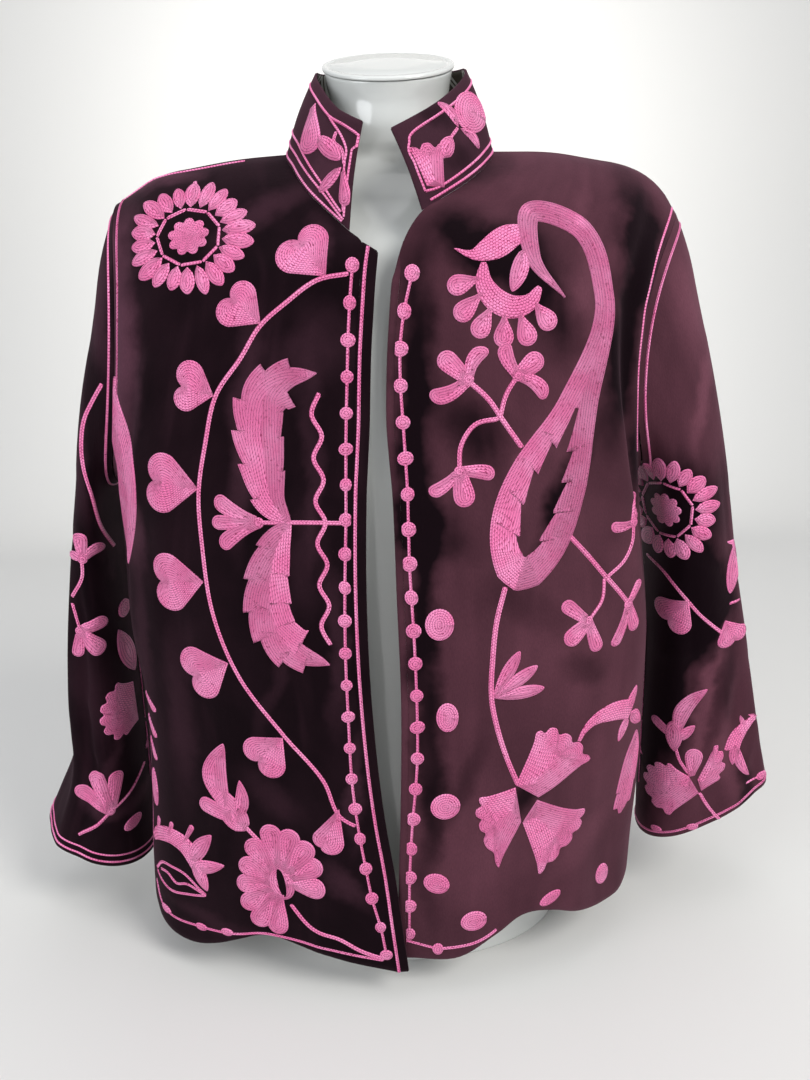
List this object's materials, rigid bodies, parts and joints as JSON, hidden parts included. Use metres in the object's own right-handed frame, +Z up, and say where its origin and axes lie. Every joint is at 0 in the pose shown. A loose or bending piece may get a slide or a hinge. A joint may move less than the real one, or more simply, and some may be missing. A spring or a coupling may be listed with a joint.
{
  "type": "open-front stand-collar velvet jacket on a limbless torso form",
  "caption": "Hip-length lined velvet jacket with wide straight sleeves, stand collar, side vents and bound front edges, worn open on a smooth limbless torso form",
  "frame": {"origin": "centre of the torso form's flat base, which stands on the ground", "axes": "+X to the wearer's left, -Y the front of the jacket, +Z up"},
  "size_m": [0.7423, 0.2699, 0.8185],
  "materials": {
    "velvet": "napped velvet with dense chain-stitch embroidery in pink thread",
    "form": "smooth glossy white"
  },
  "bodies": {
    "root": {"front_right": "velvet", "front_left": "velvet", "front_band_right": "velvet", "front_band_left": "velvet", "sleeve_right": "velvet", "sleeve_left": "velvet", "back": "velvet", "collar": "velvet", "torso_form": "form", "neck_cap": "form"}
  },
  "joints": []
}
